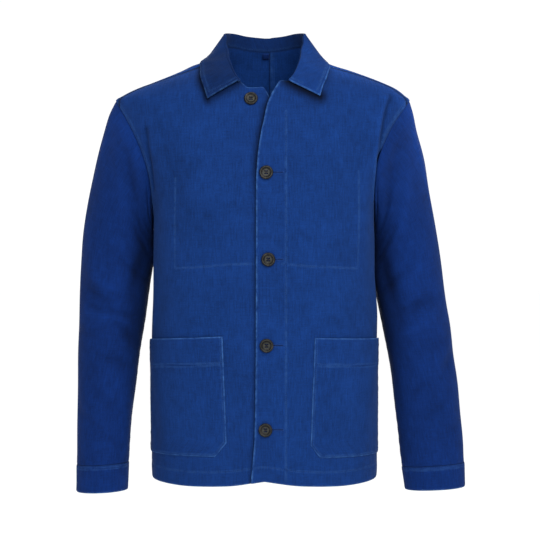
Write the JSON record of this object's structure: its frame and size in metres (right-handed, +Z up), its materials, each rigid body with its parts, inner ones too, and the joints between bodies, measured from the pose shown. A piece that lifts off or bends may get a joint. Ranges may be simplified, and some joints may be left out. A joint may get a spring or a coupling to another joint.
{
  "type": "chore jacket",
  "caption": "Hip-length cotton twill chore jacket filled out as worn, with a turned-down collar, buttoned front, patch pockets and banded cuffs.",
  "frame": {"origin": "between the shoulders, level with the back of the neck seam, where the wearer carries the jacket", "axes": "+Z up the wearer's height, -Y toward the front, +X toward the wearer's left"},
  "size_m": [0.6547, 0.2693, 0.7798],
  "materials": {
    "twill": "blue cotton twill",
    "horn": "dark horn look",
    "tab": "dark navy tape"
  },
  "bodies": {
    "root": {"front_right": "twill", "front_left": "twill", "back_right": "twill", "back_left": "twill", "sleeve_right": "twill", "sleeve_left": "twill", "cuff_right": "twill", "cuff_left": "twill", "collar": "twill", "pocket_right": "twill", "pocket_left": "twill", "inner_pocket_right": "twill", "inner_pocket_left": "twill", "neck_tab": "tab", "button_1": "horn", "button_2": "horn", "button_3": "horn", "button_4": "horn", "button_5": "horn"}
  },
  "joints": []
}
